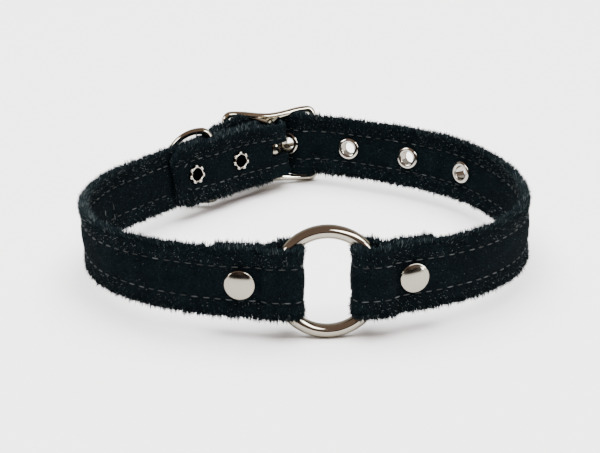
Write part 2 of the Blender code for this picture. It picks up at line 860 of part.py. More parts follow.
def build():
    clear_scene()
    parts = new_collection("choker_necklace")
    cutters = new_collection("cutters", hidden=True)
    velvet = material("velvet", (0.012, 0.017, 0.020), 0.95, 0.0)
    ring_chrome = material("ring_chrome", (0.80, 0.78, 0.75), 0.10, 1.0)
    rivet_chrome = material("rivet_chrome", (0.78, 0.78, 0.77), 0.14, 1.0)
    eyelet_nickel = material("eyelet_nickel", (0.70, 0.70, 0.69), 0.20, 1.0)
    buckle_chrome = material("buckle_chrome", (0.76, 0.75, 0.73), 0.12, 1.0)

    left = strap("strap_left", left_line, LEFT, left_route(), TIP_ROUND, velvet, parts)
    right = strap("strap_right", right_line, RIGHT, right_route(), TIP_ROUND, velvet, parts)

    double = 2 * STRAP_THICKNESS + GAP
    for obj, line, side, name in (
        (left, left_line, LEFT, "left"),
        (right, right_line, RIGHT, "right"),
    ):
        matrix = seat(line, side, RIVET_REACH, -layer / 2)
        rivet(f"rivet_{name}", matrix, double, rivet_chrome, parts)
        hole = rod(f"rivet_hole_{name}", RIVET_SHANK / 2 + GAP, 4 * double, matrix, cutters)
        combine(obj, hole, "DIFFERENCE")

    hole_radius = EYELET_HOLE / 2 + EYELET_WALL + GAP
    for number, before in enumerate((FIRST_CHAPE_EYELET, SECOND_CHAPE_EYELET), 1):
        matrix = seat(left_line, LEFT, bar_at - before, -layer / 2)
        eyelet(f"chape_eyelet_{number}", matrix, double, 1, eyelet_nickel, parts)
        hole = rod(f"chape_hole_{number}", hole_radius, 2 * double, matrix, cutters)
        combine(left, hole, "DIFFERENCE")
    for number, distance in enumerate(eyelet_places(), 1):
        matrix = seat(right_line, RIGHT, distance, 0.0)
        eyelet(f"tongue_eyelet_{number}", matrix, STRAP_THICKNESS, -1, eyelet_nickel, parts)
        hole = rod(f"tongue_hole_{number}", hole_radius, 2 * double, matrix, cutters)
        combine(right, hole, "DIFFERENCE")

    slot = block(
        "prong_slot",
        (-SLOT_BEHIND, -3 * STRAP_THICKNESS, -SLOT_HEIGHT / 2),
        (3 * STRAP_THICKNESS, 3 * STRAP_THICKNESS, SLOT_HEIGHT / 2),
        seat(left_line, LEFT, bar_at, 0.0),
        cutters,
    )
    combine(left, slot, "DIFFERENCE")

    o_ring(ring_chrome, parts, cutters, (left, right))
    buckle(buckle_chrome, parts, cutters)
    prong(buckle_chrome, parts, cutters)
    d_ring(ring_chrome, parts)
    centre_on_floor(parts, cutters)


build()
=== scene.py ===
from math import cos, pi, radians, sin, sqrt

import bpy
import numpy as np
from mathutils import Matrix, Vector, noise


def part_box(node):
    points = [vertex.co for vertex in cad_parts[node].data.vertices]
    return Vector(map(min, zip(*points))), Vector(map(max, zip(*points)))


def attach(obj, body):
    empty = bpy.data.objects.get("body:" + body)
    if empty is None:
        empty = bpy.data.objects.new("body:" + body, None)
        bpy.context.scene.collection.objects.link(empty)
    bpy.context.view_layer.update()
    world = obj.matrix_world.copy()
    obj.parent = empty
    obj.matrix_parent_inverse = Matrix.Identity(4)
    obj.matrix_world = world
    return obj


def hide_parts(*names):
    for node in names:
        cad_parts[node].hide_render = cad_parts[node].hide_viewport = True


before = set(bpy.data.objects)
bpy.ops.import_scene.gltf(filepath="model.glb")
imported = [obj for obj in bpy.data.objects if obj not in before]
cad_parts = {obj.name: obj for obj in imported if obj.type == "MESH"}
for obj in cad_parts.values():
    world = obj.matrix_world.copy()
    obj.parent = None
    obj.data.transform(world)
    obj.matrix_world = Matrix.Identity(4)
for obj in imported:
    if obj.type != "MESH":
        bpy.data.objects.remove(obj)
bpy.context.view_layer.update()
mm = 0.001
rng = np.random.default_rng(7)
bpy.ops.object.select_all(action="DESELECT")


# small helpers
def only(obj):
    bpy.ops.object.select_all(action="DESELECT")
    obj.select_set(True)
    bpy.context.view_layer.objects.active = obj
    return obj


def named(name):
    obj = bpy.context.active_object
    obj.name = name
    obj.data.name = name
    return obj


def settle(obj, place=None):  # the place goes into the mesh, the object stays at the origin
    obj.data.transform((place if place is not None else Matrix()) @ obj.matrix_basis)
    obj.matrix_basis = Matrix()
    return obj


def applyAll(obj):
    only(obj)
    for modifier in list(obj.modifiers):
        bpy.ops.object.modifier_apply(modifier=modifier.name)
    return obj


def remove(*objs):
    for obj in objs:
        bpy.data.objects.remove(obj, do_unlink=True)


def joined(name, objs):
    only(objs[0])
    for obj in objs:
        obj.select_set(True)
    bpy.ops.object.join()
    return named(name)


def smoothStep(share):
    share = min(max(share, 0.0), 1.0)
    return share * share * (3 - 2 * share)


def unit(vectors):
    return vectors / np.linalg.norm(vectors, axis=1)[:, None]


def distances(points):  # along a run of points, from its start
    return np.concatenate([[0.0], np.cumsum(np.linalg.norm(np.diff(points, axis=0), axis=1))])


def between(place, places, vectors):
    return np.stack([np.interp(place, places, axis) for axis in vectors.T], axis=-1)


# shader maths
class Sock:  # a socket that can be added, taken away and multiplied
    def __init__(self, nodes, out):
        self.nodes = nodes
        self.out = out

    def __add__(self, other):
        return self.nodes.maths("ADD", self, other)

    def __radd__(self, other):
        return self.nodes.maths("ADD", other, self)

    def __sub__(self, other):
        return self.nodes.maths("SUBTRACT", self, other)

    def __rsub__(self, other):
        return self.nodes.maths("SUBTRACT", other, self)

    def __mul__(self, other):
        return self.nodes.maths("MULTIPLY", self, other)

    def __rmul__(self, other):
        return self.nodes.maths("MULTIPLY", other, self)

    def clamped(self):
        return self.nodes.maths("ADD", self, 0.0, clamp=True)


class Nodes:  # a node tree and the one way to add to it
    def __init__(self, tree):
        self.tree = tree

    def node(self, kind, settings=None, sockets=None, out=0):
        made = self.tree.nodes.new("ShaderNode" + kind)
        for name, value in (settings or {}).items():
            if name == "stops":
                setStops(made.color_ramp, value)
            else:
                setattr(made, name, value)
        for socket, value in (sockets or {}).items():
            if isinstance(value, Sock):
                self.tree.links.new(value.out, made.inputs[socket])
            else:
                made.inputs[socket].default_value = value
        return Sock(self, made.outputs[out])

    def maths(self, operation, first, second, clamp=False):
        settings = {"operation": operation, "use_clamp": clamp}
        return self.node("Math", settings, {0: first, 1: second})

    def ramp(self, factor, *stops):
        return self.node("ValToRGB", {"stops": stops}, {"Fac": factor})

    def mixed(self, factor, first, second):  # 6 and 7 are the colour inputs
        return self.node("Mix", {"data_type": "RGBA"}, {0: factor, 6: first, 7: second}, out=2)


def setStops(ramp, stops):
    for element, (position, colour) in zip(ramp.elements, (stops[0], stops[-1])):
        element.position, element.color = position, (*colour, 1)
    for position, colour in stops[1:-1]:
        ramp.elements.new(position).color = (*colour, 1)


class Look(Nodes):  # one material with its shader
    def __init__(self, name, **values):
        self.material = bpy.data.materials.new(name)
        self.material.use_nodes = True
        super().__init__(self.material.node_tree)
        self.shader = self.tree.nodes["Principled BSDF"]
        for socket, value in values.items():
            self.shader.inputs[socket.replace("_", " ")].default_value = value

    def feed(self, socket, value):
        self.tree.links.new(value.out, self.shader.inputs[socket])

    def speckle(self, coords, scale, detail=2.0, rough=0.5):
        sockets = {"Vector": coords, "Scale": scale, "Detail": detail, "Roughness": rough}
        return self.node("TexNoise", None, sockets)


# the lines that the straps follow, seen from above
loop = {
    "width": 132.4 * mm,  # width and depth are between the straps' middles
    "depth": 107.7 * mm,
    "ringOutside": 32.0 * mm,
    "ringWire": 3.9 * mm,
    "ringLean": 14.0,  # degrees, its top leans back
    "ringDrop": 0.7 * mm,  # its middle hangs this much below the straps' middle
    "gap": 0.3 * mm,  # clearance between pieces
    "thickness": 2.6 * mm,
    "strapWidth": 19.0 * mm,
}
# x and y are shares of half the width and depth, the lean is in degrees
leftStations = (
    (0.085, -1.000, -10), (-0.130, -1.006, -8), (-0.328, -0.989, -5), (-0.537, -0.927, -4),
    (-0.743, -0.814, -1), (-0.916, -0.624, 2), (-1.000, -0.317, 2), (-0.942, -0.005, 3),
    (-0.785, 0.255, 6), (-0.603, 0.507, 10), (-0.386, 0.742, 11), (-0.178, 0.935, 11),
    (-0.070, 1.015, 11),
)
rightStations = (
    (0.085, -1.000, -10), (0.292, -0.984, -9), (0.424, -0.926, -8), (0.564, -0.868, -7),
    (0.768, -0.726, -5), (0.931, -0.499, -3), (1.000, -0.229, -2), (0.980, 0.074, 0),
    (0.898, 0.333, 4), (0.767, 0.568, 8), (0.581, 0.740, 11), (0.379, 0.866, 11),
    (0.188, 0.958, 11),
)
# the tongue's climb over the fold: along in shares of half a buckle, rise as a share
tongueClimb = (
    (1.00, 0.02), (0.70, 0.10), (0.45, 0.56), (0.25, 0.90), (0.06, 1.00), (-0.20, 0.87),
    (-0.50, 0.58), (-0.80, 0.29), (-1.05, 0.05),
)
buckleSize = {
    "length": 33.6 * mm,
    "height": 26.8 * mm,
    "wire": 2.4 * mm,
    "bar": 2.5 * mm,
    "turn": 22.0,  # degrees off the strap's line
    "arch": 2.2 * mm,  # the waist lies this much nearer the neck than the end bars
    "corner": 2.04 * mm,
    "tongueLow": 0.7 * mm,  # the tongue's middle over the bar's, before it climbs
}
front = {
    "opening": 12.8 * mm,  # between the two folds
    "foldBack": 33.0 * mm,
    "rivetReach": 24.0 * mm,  # from the middle of the opening
    "corner": 1.9 * mm,
    "slack": 0.2 * mm,
    "outerShare": 0.3,  # of the bulge over the ring, on the outer layer
    "cap": 8.5 * mm,
}
chape = {
    "eyelets": (16.5 * mm, 35.5 * mm),  # from the centre bar, as is all here that reaches
    "reach": 45.0 * mm,  # of the fold-back
    "slack": 0.8 * mm,
    "slotHeight": 4.6 * mm,  # for the prong
    "tipRound": 6.5 * mm,
    "outerShare": 0.7,
    "tailReach": 24.5 * mm,  # of the tongue's tip
    "tailSettle": 0.8 * mm,  # the tail comes this much nearer to the chape
}
eyeletSize = {
    "flange": 7.3 * mm,
    "height": 0.45 * mm,
    "hole": 4.4 * mm,
    "wall": 0.35 * mm,
    "clearance": 0.2 * mm,
    "stand": 0.45 * mm,  # of the flange over the strap
    "pitch": 22.0 * mm,  # pitch and count are the tongue's
    "count": 5,
}
dRing = {
    "wire": 2.2 * mm,
    "inside": 22.0 * mm,
    "depth": 18.0 * mm,
    "at": 25.0 * mm,  # from the centre bar
    "corner": 1.65 * mm,
    "swing": 41.0,  # degrees
}


class Line:  # a smooth line through stations, which also carries the strap's lean
    def __init__(self, stations, before, steps=24):
        knots = np.array(stations, float)
        padded = np.vstack([before, knots, 2 * knots[-1] - knots[-2]])
        share = np.linspace(0, 1, steps, endpoint=False)[:, None]
        runs = []
        for a, b, c, d in zip(padded, padded[1:], padded[2:], padded[3:]):
            cubic = (3 * b - a - 3 * c + d) * share**3
            square = (2 * a - 5 * b + 4 * c - d) * share**2
            runs.append(0.5 * (2 * b + (c - a) * share + square + cubic))
        runs.append(knots[-1:])
        table = np.vstack(runs)
        self.points = table[:, :2]
        self.leans = table[:, 2]
        self.along = distances(self.points)
        self.slopes = np.gradient(self.points, self.along, axis=0)
        self.length = self.along[-1]

    def point(self, distance):
        return between(distance, self.along, self.points)

    def tangent(self, distance):
        slope = between(distance, self.along, self.slopes)
        return slope / np.linalg.norm(slope)

    def lean(self, distance):
        return radians(np.interp(distance, self.along, self.leans))

    def nearest(self, point):
        return self.along[np.argmin(np.linalg.norm(self.points - point, axis=1))]


def inPlan(stations):
    return [(x * loop["width"] / 2, y * loop["depth"] / 2, lean) for x, y, lean in stations]


def outward(tangent, side):
    return np.array([-tangent[1], tangent[0]]) * side


left, right = 1, -1
leftLine = Line(inPlan(leftStations), before=inPlan(rightStations)[1])
layer = loop["thickness"] + loop["gap"]
barAt = leftLine.nearest(np.array(inPlan(leftStations)[-2][:2]))
foldSpread = buckleSize["bar"] + 2 * loop["gap"]
chapeTangent = leftLine.tangent(barAt)
barMiddle = chape["outerShare"] * foldSpread - (layer + foldSpread) / 2
barPoint = leftLine.point(barAt) + outward(chapeTangent, left) * barMiddle
turn = radians(-buckleSize["turn"])
frameAlong = np.array([
    chapeTangent[0] * cos(turn) - chapeTangent[1] * sin(turn),
    chapeTangent[0] * sin(turn) + chapeTangent[1] * cos(turn),
])
frameOut = outward(frameAlong, left)
backLean = leftLine.lean(barAt)
foldRoom = buckleSize["bar"] / 2 + 1.5 * loop["gap"]
foldCentreAlong = foldRoom + chape["slack"] + loop["thickness"] / 2 - front["corner"]
foldCentreOut = foldRoom + loop["thickness"] / 2 - front["corner"]
foldTop = (
    foldCentreAlong * sin(-turn) + foldCentreOut * cos(turn) + front["corner"] + loop["thickness"] / 2
)
tongueTop = foldTop + 3 * loop["gap"] + loop["thickness"] / 2
halfBuckle = (buckleSize["length"] - buckleSize["wire"]) / 2
eyeletRise = loop["thickness"] / 2 + eyeletSize["stand"] + eyeletSize["height"]
climbHeight = tongueTop + loop["gap"] - buckleSize["tongueLow"]
overTongue = eyeletRise + 3 * loop["gap"] + buckleSize["wire"] / 2
endBarOut = {  # how far out the two end bars lie
    end: buckleSize["tongueLow"] + rise * climbHeight + overTongue
    for end, rise in ((1, tongueClimb[0][1]), (-1, tongueClimb[-1][1]))
}


def onFrame(along, out):
    return barPoint + frameAlong * along + frameOut * out


def tongueStations():  # the right half, then the climb over the buckle, then the tail
    stations = inPlan(rightStations)
    lean = rightStations[-1][2]
    for along, rise in tongueClimb:
        place = onFrame(along * halfBuckle, buckleSize["tongueLow"] + rise * climbHeight)
        stations.append((*place, lean))
    last = onFrame(-halfBuckle, buckleSize["tongueLow"] + tongueClimb[-1][1] * climbHeight)
    start = leftLine.nearest(last)
    startOut = float(np.linalg.norm(last - leftLine.point(start)))
    for share in (0.5, 1.0):
        distance = start + share * (barAt - chape["tailReach"] - start)
        out = startOut - share * chape["tailSettle"]
        place = leftLine.point(distance) + outward(leftLine.tangent(distance), left) * out
        stations.append((*place, lean))
    return stations


rightLine = Line(tongueStations(), before=inPlan(leftStations)[1])

ringRadius = (loop["ringOutside"] - loop["ringWire"]) / 2
ringHeight = ringRadius * cos(radians(loop["ringLean"])) + loop["ringWire"] / 2
frontHeight = ringHeight + loop["ringDrop"]
sideBarUp = (buckleSize["height"] - buckleSize["wire"]) / 2
backHeight = sideBarUp * cos(backLean) + endBarOut[-1] * sin(backLean) + buckleSize["wire"] / 2
frontY = leftLine.points[0][1]

# the O-ring's own box gives where the plan lies on the floor
ringLow, ringHigh = (Vector(corner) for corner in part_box("o_ring"))
ringSpread = loop["ringWire"] + loop["gap"] + front["slack"]
ringMiddle = front["outerShare"] * ringSpread - (layer + ringSpread) / 2
ringPlan = leftLine.point(0.0) + outward(leftLine.tangent(0.0), left) * ringMiddle
planShift = np.array([(ringLow.x + ringHigh.x) / 2, (ringLow.y + ringHigh.y) / 2]) - ringPlan


def heightAt(y):  # of the straps' middle, from the ring to the buckle
    share = (y - frontY) / (barPoint[1] - frontY)
    return frontHeight + (backHeight - frontHeight) * share


def seat(line, side, distance, out):  # x along the strap, y out of its face, z up its width
    tangent = line.tangent(distance)
    away = outward(tangent, side)
    place = line.point(distance) + away * out
    lean = line.lean(distance)
    along = Vector((*tangent, 0)) * side
    up = Vector((away[0] * sin(lean), away[1] * sin(lean), cos(lean)))
    matrix = Matrix((along, up.cross(along), up)).transposed().to_4x4()
    matrix.translation = (*(place + planShift), heightAt(place[1]))
    return matrix


def frameSeat():  # the same for the buckle's frame
    up = Vector((frameOut[0] * sin(backLean), frameOut[1] * sin(backLean), cos(backLean)))
    along = Vector((*frameAlong, 0))
    matrix = Matrix((along, up.cross(along), up)).transposed().to_4x4()
    matrix.translation = (*(barPoint + planShift), heightAt(barPoint[1]))
    return matrix


def ringBulge(distance):  # how far the two layers part for the ring
    full = ringRadius + loop["ringWire"] / 2 + loop["gap"]
    end = front["rivetReach"] - front["cap"] / 2 - 4 * loop["gap"]
    return (1 - smoothStep((distance - full) / (end - full))) * ringSpread


def chapeBulge(distance):  # and for the buckle's bar and the D-ring
    before = barAt - distance
    flange = eyeletSize["flange"] / 2
    first, second = chape["eyelets"]
    nearBar = 1 - smoothStep((before - foldRoom) / (first - flange - foldRoom))
    place = first if before < dRing["at"] else second
    start = dRing["wire"] / 2 + 2 * loop["gap"]
    spread = abs(place - dRing["at"]) - flange - start
    nearRing = 1 - smoothStep((abs(before - dRing["at"]) - start) / spread)
    return max(nearBar * foldSpread, nearRing * (dRing["wire"] + loop["gap"]))


def fold(end, upper, lower, direction):  # two rounded corners, from one layer to the other
    radius = front["corner"]
    points = []
    for centreOut, start in ((upper - radius, 0.0), (lower + radius, pi / 2)):
        for step in range(9):
            angle = start + step * pi / 16
            points.append((
                end + direction * radius * (1 - sin(angle)),
                centreOut + radius * cos(angle),
            ))
    return points


ringFoldEnd = front["opening"] / 2 + loop["thickness"] / 2


# routes are lists of how far along the line and how far out of it
def outerLayer(distance, withChape):
    out = front["outerShare"] * ringBulge(distance)
    if withChape:
        out += chape["outerShare"] * chapeBulge(distance)
    return (distance, out)


def frontFold(step):
    start = ringFoldEnd + front["corner"]
    inner = -(1 - front["outerShare"])
    route = [(d, -layer + inner * ringBulge(d)) for d in np.arange(front["foldBack"], start, -step)]
    top = front["outerShare"] * ringBulge(start)
    bottom = -layer + inner * ringBulge(start)
    return route + list(reversed(fold(ringFoldEnd, top, bottom, 1)))


def leftRoute(step):
    start = ringFoldEnd + front["corner"] + step
    chapeEnd = barAt + foldRoom + loop["thickness"] / 2 + chape["slack"]
    flatEnd = chapeEnd - front["corner"] - step
    bulge = chapeBulge(barAt)
    inner = -(1 - chape["outerShare"])
    route = frontFold(step) + [outerLayer(d, True) for d in np.arange(start, flatEnd, step)]
    route += fold(chapeEnd, chape["outerShare"] * bulge, -layer + inner * bulge, -1)
    chapeTip = barAt - chape["reach"]
    route += [(d, -layer + inner * chapeBulge(d)) for d in np.arange(flatEnd, chapeTip, -step)]
    return route


def rightRoute(step):
    start = ringFoldEnd + front["corner"] + step
    return frontFold(step) + [outerLayer(d, False) for d in np.arange(start, rightLine.length, step)]


def eyeletPlaces():
    along, rise = tongueClimb[2]
    hole = onFrame(along * halfBuckle, buckleSize["tongueLow"] + rise * climbHeight)
    tip = rightLine.nearest(hole) + eyeletSize["pitch"]
    return [tip - number * eyeletSize["pitch"] for number in range(eyeletSize["count"])]


# velvet
velvet = {
    "step": 0.8 * mm,
    "halfWidth": 9.7 * mm,
    "halfThick": 1.12 * mm,
    "stitchRow": 4.85 * mm,  # from the middle of the strap
    "grooveDeep": 0.34 * mm,
    "grooveWide": 0.75 * mm,
    "puff": 0.14 * mm,
    "startRound": 2.0 * mm,  # corners of the fold-back behind the ring
    "endTaper": 1.1 * mm,  # both ends thin out over this length
    "endThick": 0.2,  # share of the thickness that stays at an end
    "facePoints": 26,
    "edgePoints": 7,
    "wander": 0.22 * mm,
    "wanderLong": 9.0 * mm,
    "squeeze": 0.075,  # in the buckle's waist
    "raised": 1.3 * mm,  # where the tongue climbs to the end bars
    "ringClear": 0.4 * mm,
    "ringEase": 1.8 * mm,  # past the ring the two layers close over this length
}


def widthShare(distance, radius):  # rounds the corners of an end
    if distance >= radius:
        return 1.0
    drop = radius - sqrt(max(radius**2 - (radius - distance) ** 2, 0.0))
    return 1.0 - drop / velvet["halfWidth"]


def thickAt(across):  # half the thickness, with the stitched rows drawn in
    fromRow = (np.abs(across) - velvet["stitchRow"]) / velvet["grooveWide"]
    crown = velvet["puff"] * np.cos(across / velvet["stitchRow"] * pi)
    return velvet["halfThick"] - velvet["grooveDeep"] * np.exp(-(fromRow**2)) + crown


def sectionLoop():  # (across, out, how much it is an edge) round the strap
    thick = velvet["halfThick"]
    flat = velvet["halfWidth"] - thick
    loopPoints = []
    for face in (1, -1):  # a face and the edge after it
        for across in np.linspace(-flat, flat, velvet["facePoints"]) * face:
            loopPoints.append((across, face * float(thickAt(across)), 0.0))
        for step in range(1, velvet["edgePoints"]):
            angle = face * pi / 2 - step * pi / velvet["edgePoints"]
            loopPoints.append((face * flat + thick * cos(angle), thick * sin(angle), 1.0))
    return np.array(loopPoints)


class Band:  # a strap half as rows of sections
    def __init__(self, line, side, route, waists, lifts=()):
        self.distance = np.array([d for d, out in route])
        flat = [line.point(d) + outward(line.tangent(d), side) * out for d, out in route]
        self.centre = np.array([(*(place + planShift), heightAt(place[1])) for place in flat])
        ups = []
        for d in self.distance:
            away = outward(line.tangent(d), side)
            lean = line.lean(d)
            ups.append((away[0] * sin(lean), away[1] * sin(lean), cos(lean)))
        self.up = np.array(ups)
        self.along = distances(self.centre)
        self.length = self.along[-1]
        slope = unit(np.gradient(self.centre, self.along, axis=0))
        self.out = unit(np.cross(self.up, slope * side))
        self.share = np.array([
            min(widthShare(s, velvet["startRound"]), widthShare(self.length - s, chape["tipRound"]))
            for s in self.along
        ])
        taper = np.array([self.endTaper(s) for s in self.along])
        self.thin = taper * (1 - velvet["endThick"]) + velvet["endThick"]
        waver = [noise.noise(Vector((s / velvet["wanderLong"], side * 3.7, 0))) for s in self.along]
        self.waver = 1 + np.array(waver) * velvet["wander"] / velvet["halfWidth"]
        inner = np.array([out < -0.5 * layer and d < front["foldBack"] for d, out in route])
        bulge = np.array([ringBulge(d) for d in self.distance])
        self.pinch = inner * bulge * (1 - front["outerShare"])  # how far the layers may close
        self.waist = self.hills(waists)
        self.lift = self.hills(lifts)

    def endTaper(self, s):
        share = min(s, self.length - s, velvet["endTaper"]) / velvet["endTaper"]
        return sqrt(max(0.0, 1 - (1 - share) ** 2))

    def hills(self, places):  # bell curves along the line
        flat = np.zeros(len(self.distance))
        return sum((np.exp(-(((self.distance - at) / wide) ** 2)) for at, wide in places), flat)

    def at(self, name, s):
        value = getattr(self, name)
        if value.ndim == 1:
            return np.interp(s, self.along, value)
        return between(s, self.along, value)

    def place(self, s, across, out):
        narrow = 1 - velvet["squeeze"] * self.at("waist", s)
        raised = velvet["raised"] * self.at("lift", s) * np.clip(across / velvet["halfWidth"], -1, 1) ** 3
        width = (self.at("share", s) * self.at("waver", s) * narrow * across + raised)[..., None]
        pastRing = np.hypot(self.at("distance", s), across) - loop["ringOutside"] / 2 - velvet["ringClear"]
        ease = np.clip(pastRing / velvet["ringEase"], 0, 1)
        closing = self.at("pinch", s) * ease * ease * (3 - 2 * ease)
        deep = (self.at("thin", s) * out - closing)[..., None]
        return self.at("centre", s) + self.at("up", s) * width + self.at("out", s) * deep


def strapMesh(name, band):  # a grid, wrapped round the strap row by row
    section = sectionLoop()
    rows, count = len(band.along), len(section)
    bpy.ops.mesh.primitive_grid_add(x_subdivisions=rows - 1, y_subdivisions=count, size=2)
    obj = named(name)
    mesh = obj.data
    flat = np.empty(len(mesh.vertices) * 3)
    mesh.vertices.foreach_get("co", flat)
    flat = flat.reshape(-1, 3)
    row = np.rint((flat[:, 0] + 1) / 2 * (rows - 1)).astype(int)
    turnOf = np.rint((flat[:, 1] + 1) / 2 * count).astype(int) % count
    places = band.place(band.along[row], section[turnOf, 0], section[turnOf, 1])
    mesh.vertices.foreach_set("co", places.reshape(-1))
    mesh.update()
    uv = mesh.uv_layers.active.data
    loops = np.empty(len(mesh.loops), int)
    mesh.loops.foreach_get("vertex_index", loops)
    closed = np.vstack([section, section[:1]])[:, :2]
    around = distances(closed)
    vertexRow = np.rint((flat[:, 1] + 1) / 2 * count).astype(int)
    coords = np.stack([band.along[row[loops]] / (10 * mm), around[vertexRow[loops]] / (10 * mm)], axis=1)
    uv.foreach_set("uv", coords.reshape(-1))
    only(obj)
    bpy.ops.object.mode_set(mode="EDIT")
    bpy.ops.mesh.select_all(action="SELECT")
    bpy.ops.mesh.remove_doubles(threshold=1e-6)
    bpy.ops.mesh.select_all(action="DESELECT")
    bpy.ops.mesh.select_non_manifold()
    bpy.ops.mesh.edge_face_add()
    bpy.ops.mesh.select_all(action="SELECT")
    bpy.ops.mesh.normals_make_consistent(inside=False)
    bpy.ops.object.mode_set(mode="OBJECT")
    bpy.ops.object.shade_smooth()
    return obj


def holeCutter(places, deep):
    radius = eyeletSize["hole"] / 2 + eyeletSize["wall"] + eyeletSize["clearance"]
    cutters = []
    for matrix in places:
        bpy.ops.mesh.primitive_cylinder_add(
            vertices=32, radius=radius, depth=deep, rotation=(pi / 2, 0, 0),
        )
        cutters.append(settle(named("hole"), matrix))
    return joined("holes", cutters)


def cut(obj, cutter):
    change = obj.modifiers.new("cut", "BOOLEAN")
    change.operation = "DIFFERENCE"
    change.solver = "EXACT"
    change.object = cutter
    applyAll(obj)
    remove(cutter)


# a waist or a lift is a place along the line and its reach
overBar = rightLine.nearest(onFrame(0.0, tongueTop))
overEnds = [overBar + share * halfBuckle for share in (-0.65, 0.65)]
leftBand = Band(leftLine, left, leftRoute(velvet["step"]), waists=[(barAt + 2 * mm, 6.5 * mm)])
rightBand = Band(
    rightLine, right, rightRoute(velvet["step"]),
    waists=[(overBar, 5.5 * mm)], lifts=[(d, 6.0 * mm) for d in overEnds],
)
# how far along the bands the two turns and the fold round the bar lie
leftTurn = leftBand.along[int(np.argmin(leftBand.centre[:, 0]))]
rightTurn = rightBand.along[int(np.argmax(rightBand.centre[:, 0]))]
foldAt = leftBand.along[int(np.argmax(leftBand.distance))]
print("bands", round(leftBand.length * 1000), round(rightBand.length * 1000), "mm long")

tonguePlaces = [seat(rightLine, right, d, 0.0) for d in eyeletPlaces()]
chapePlaces = [seat(leftLine, left, barAt - before, -layer / 2) for before in chape["eyelets"]]
rivetPlaces = [
    seat(line, side, front["rivetReach"], -layer / 2)
    for line, side in ((leftLine, left), (rightLine, right))
]

strapLeft = strapMesh("velvet_left", leftBand)
cut(strapLeft, holeCutter(chapePlaces[:1], 16 * mm))
innerOnly = chapePlaces[1] @ Matrix.Translation((0, -4 * mm, 0))
cut(strapLeft, holeCutter([innerOnly], 8 * mm))
slotSize = (11 * mm, 16 * mm, chape["slotHeight"])  # the prong's slot in the fold round the bar
bpy.ops.mesh.primitive_cube_add(size=1, scale=slotSize, location=(2.3 * mm, -1 * mm, 0))
cut(strapLeft, settle(named("slot"), seat(leftLine, left, barAt, 0.0)))
strapRight = strapMesh("velvet_right", rightBand)
cut(strapRight, holeCutter(tonguePlaces, 9 * mm))
print("straps made")


# copies of one small model as a single mesh: a frame holds three axes and a place
def planted(name, model, frames, shades, material):
    mesh = model.data
    base = np.empty(len(mesh.vertices) * 3)
    mesh.vertices.foreach_get("co", base)
    base = base.reshape(-1, 3)
    mesh.calc_loop_triangles()
    faces = np.empty(len(mesh.loop_triangles) * 3, int)
    mesh.loop_triangles.foreach_get("vertices", faces)
    count = len(frames)
    places = np.einsum("nij,vj->nvi", frames[:, :, :3], base) + frames[:, None, :, 3]
    corners = (faces[None, :] + np.arange(count)[:, None] * len(base)).reshape(-1)
    made = bpy.data.meshes.new(name)
    made.vertices.add(count * len(base))
    made.vertices.foreach_set("co", places.reshape(-1))
    made.loops.add(len(corners))
    made.loops.foreach_set("vertex_index", corners)
    made.polygons.add(len(corners) // 3)
    made.polygons.foreach_set("loop_start", np.arange(0, len(corners), 3))
    made.update(calc_edges=True)
    shade = made.attributes.new("shade", "FLOAT", "POINT")
    shade.data.foreach_set("value", np.repeat(shades, len(base)))
    made.shade_smooth()
    obj = bpy.data.objects.new(name, made)
    bpy.context.scene.collection.objects.link(obj)
    made.materials.append(material)
    return obj


pile = {
    "perHalf": 60000,
    "faceLong": 0.62 * mm,
    "middleLong": 0.45 * mm,
    "edgeLong": 1.15 * mm,
    "rowLong": 0.4,  # share of the length in the stitched rows
    "rowWide": 0.42 * mm,
    "waistLong": 0.45,  # share of the length in the buckle's waist
    "wide": 0.12 * mm,
    "tilt": 0.55,
    "strays": 0.012,
    "tooth": 0.86 * mm,  # the fringe stands in small teeth
    "toothDeep": 0.30,
    "lump": 0.9 * mm,
    "rimFrom": 7.6 * mm,  # from the middle of the strap
    "rimWide": 1.5 * mm,
    "rimDense": 4.4,
    "sunk": 0.96,  # roots stand this share of the thickness out
}


def hiddenFace(band, s, out, across, isLeft):  # between the two layers
    distance = band.at("distance", s)
    hidden = distance < front["foldBack"]
    if isLeft:
        hidden |= distance > barAt - chape["reach"]
    return hidden & (out < 0) & (np.abs(across) < pile["rimFrom"])


def nearHoles(points, places, radius):
    near = np.zeros(len(points), bool)
    for matrix in places:
        local = (points - np.array(matrix.translation)) @ np.array(matrix.to_3x3())
        near |= np.hypot(local[:, 0], local[:, 2]) < radius
    return near


def pileRoots(band, isLeft, holes):
    section = sectionLoop()
    closed = np.vstack([section, section[:1]])
    stretch = np.linalg.norm(np.diff(closed[:, :2], axis=0), axis=1)
    weight = stretch * np.where(section[:, 2] > 0.5, pile["rimDense"], 1.0)
    count = pile["perHalf"]
    part = rng.choice(len(section), count, p=weight / weight.sum())
    share = rng.random(count)
    s = rng.random(count) * band.length
    across = closed[part, 0] * (1 - share) + closed[part + 1, 0] * share
    out = closed[part, 1] * (1 - share) + closed[part + 1, 1] * share
    keep = ~hiddenFace(band, s, out, across, isLeft)
    s, across, out = s[keep], across[keep], out[keep]
    roots = band.place(s, across, out * pile["sunk"])
    keep = ~nearHoles(roots, holes, eyeletSize["flange"] / 2 - 0.2 * mm)
    return s[keep], across[keep], out[keep], roots[keep]


